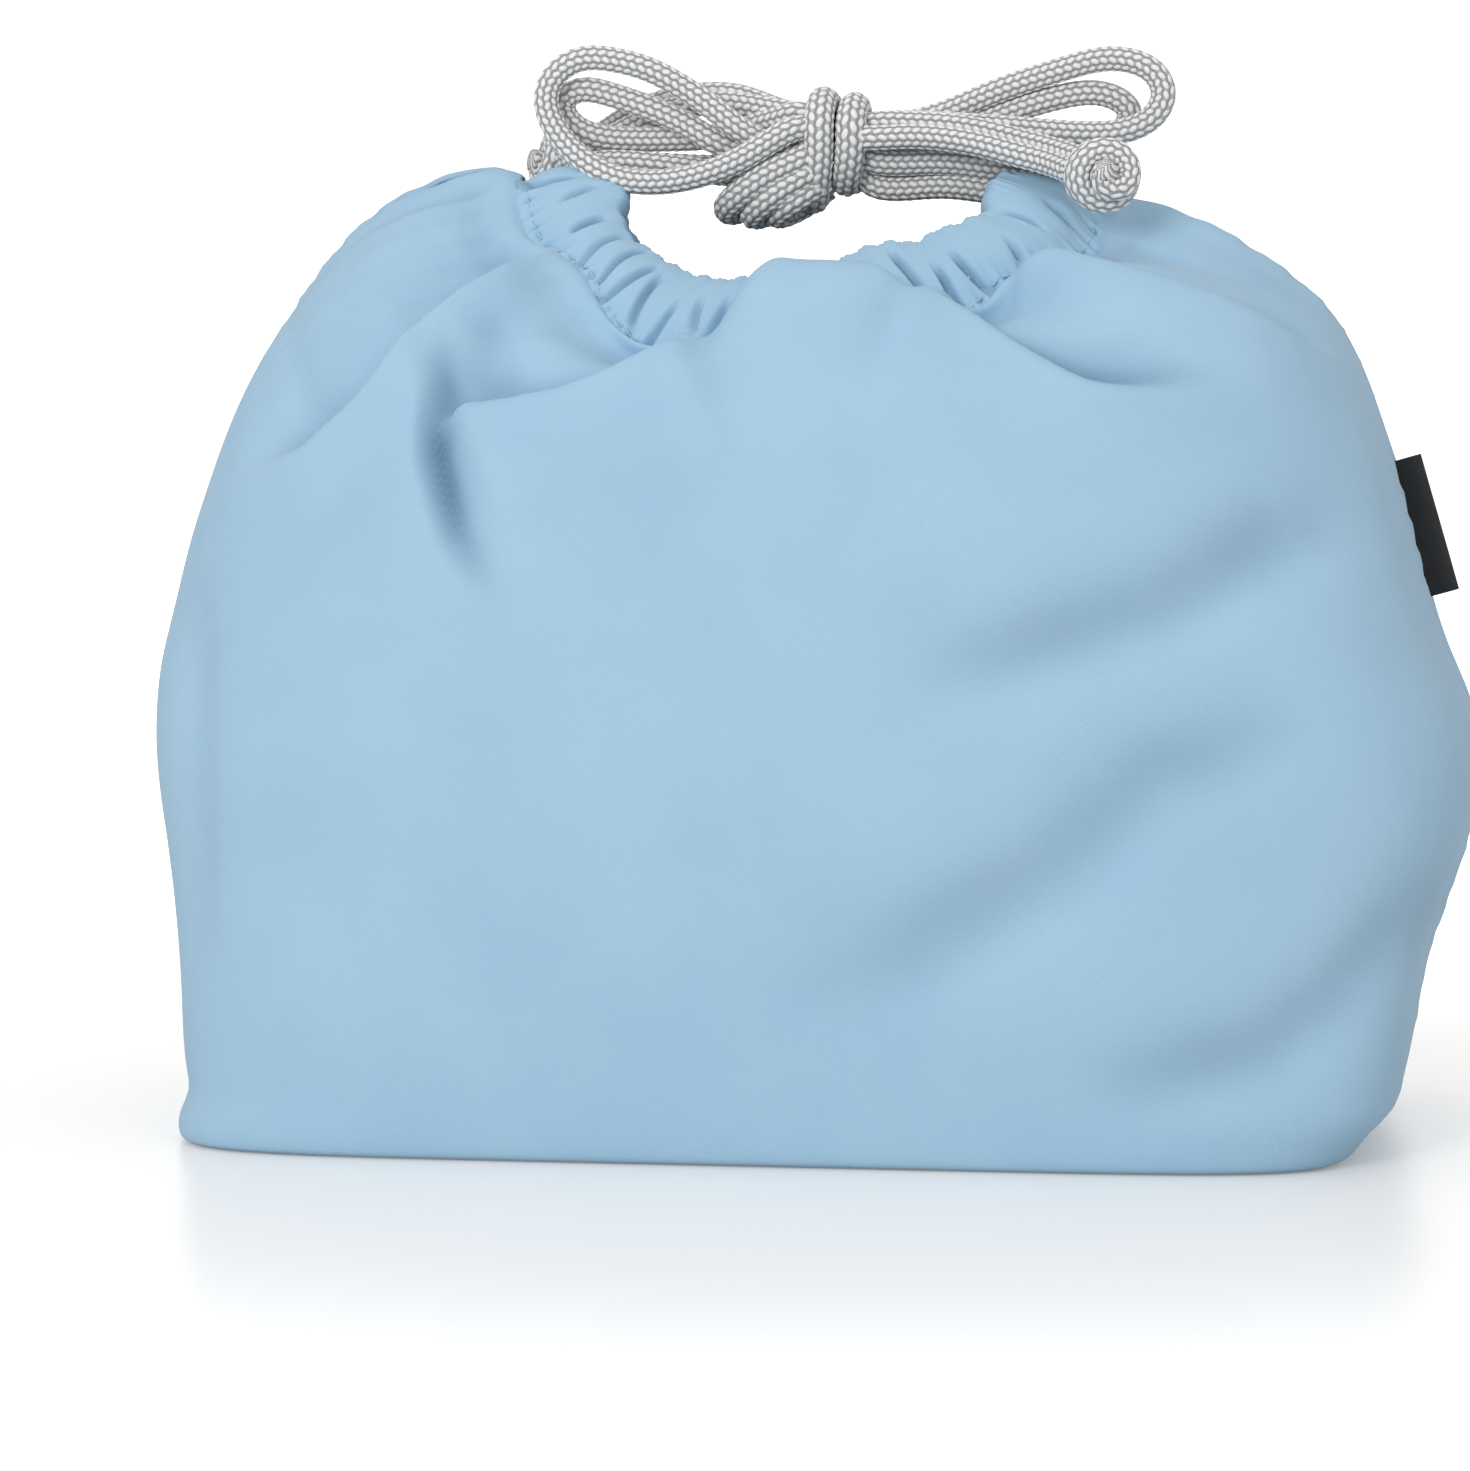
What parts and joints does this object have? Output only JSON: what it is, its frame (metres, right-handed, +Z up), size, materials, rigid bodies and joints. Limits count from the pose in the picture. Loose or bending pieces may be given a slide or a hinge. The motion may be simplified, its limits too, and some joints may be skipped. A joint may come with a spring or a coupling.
{
  "type": "drawstring lunch bag",
  "caption": "Soft cloth lunch bag with a boxed base, a gathered drawstring mouth tied in a double-strand bow, and a folded label in its side seam.",
  "frame": {"origin": "middle of the flat base, on the floor", "axes": "+Z up, +X to the right of someone who looks at the front, the front faces -Y"},
  "size_m": [0.23, 0.132, 0.1936],
  "materials": {
    "shell_fabric": "matte soft-touch twill",
    "inner_fabric": "matte, cut edges",
    "sewing_thread": "twisted thread",
    "cord_braid": "round braid of white and light grey yarns",
    "label_weave": "black woven ribbon"
  },
  "bodies": {
    "bag": {"front_panel": "shell_fabric", "back_panel": "shell_fabric", "base_seam": "inner_fabric", "left_side_seam": "inner_fabric", "right_side_seam": "inner_fabric", "left_corner_seam": "inner_fabric", "right_corner_seam": "inner_fabric", "label_stitching": "sewing_thread"},
    "front_lip": {"front_casing": "shell_fabric", "front_casing_stitching": "sewing_thread", "left_cord_front_run": "cord_braid", "right_cord_front_run": "cord_braid"},
    "back_lip": {"back_casing": "shell_fabric", "back_casing_stitching": "sewing_thread", "left_cord_back_run": "cord_braid", "right_cord_back_run": "cord_braid"},
    "bow": {"bow_knot_core": "cord_braid", "bow_knot_left_wrap": "cord_braid", "bow_knot_right_wrap": "cord_braid", "bow_knot_bight": "cord_braid", "left_leg_front": "cord_braid", "left_leg_back": "cord_braid", "right_leg_upper": "cord_braid", "right_leg_lower": "cord_braid"},
    "left_loop": {"left_loop_outer": "cord_braid", "left_loop_inner": "cord_braid"},
    "right_loop": {"right_loop_outer": "cord_braid", "right_loop_inner": "cord_braid"},
    "left_tail": {"left_tail_upper": "cord_braid", "left_tail_lower": "cord_braid", "left_stopper_knot": "cord_braid"},
    "right_tail": {"right_tail_front": "cord_braid", "right_tail_back": "cord_braid", "right_stopper_knot": "cord_braid"},
    "label": {"side_label": "label_weave"}
  },
  "joints": [
    {"name": "front_lip_opens", "type": "hinge", "parent": "bag", "child": "front_lip", "pos_m": [0, 0, 0.1675], "axis": [-1, 0, 0], "range_deg": [0, 25], "deforming": ["front_panel"]},
    {"name": "back_lip_opens", "type": "hinge", "parent": "bag", "child": "back_lip", "pos_m": [0, 0, 0.1675], "axis": [1, 0, 0], "range_deg": [0, 25], "deforming": ["back_panel"]},
    {"name": "bow_lifts", "type": "slide", "parent": "bag", "child": "bow", "axis": [0, 0, 1], "range_m": [0, 0.018], "deforming": ["left_leg_front", "left_leg_back", "right_leg_upper", "right_leg_lower"]},
    {"name": "left_loop_swings", "type": "hinge", "parent": "bow", "child": "left_loop", "pos_m": [-0.0004, 0, 0.177], "axis": [0, 1, 0], "range_deg": [0, 25], "deforming": ["left_loop_outer", "left_loop_inner"]},
    {"name": "right_loop_swings", "type": "hinge", "parent": "bow", "child": "right_loop", "pos_m": [0.0121, 0, 0.179], "axis": [0, -1, 0], "range_deg": [0, 25], "deforming": ["right_loop_outer", "right_loop_inner"]},
    {"name": "left_tail_swings", "type": "hinge", "parent": "bow", "child": "left_tail", "pos_m": [-0.0004, 0.005, 0.181], "axis": [0, 1, 0], "range_deg": [0, 30], "deforming": ["left_tail_upper", "left_tail_lower"]},
    {"name": "right_tail_swings", "type": "hinge", "parent": "bow", "child": "right_tail", "pos_m": [0.0121, -0.005, 0.178], "axis": [0, -1, 0], "range_deg": [0, 30], "deforming": ["right_tail_front", "right_tail_back"]},
    {"name": "label_flaps", "type": "hinge", "parent": "bag", "child": "label", "pos_m": [0.11206, 0, 0.09774], "axis": [-0.2784, 0, 0.9605], "range_deg": [-20, 20], "stiffness_Nm_per_rad": 0.001}
  ]
}
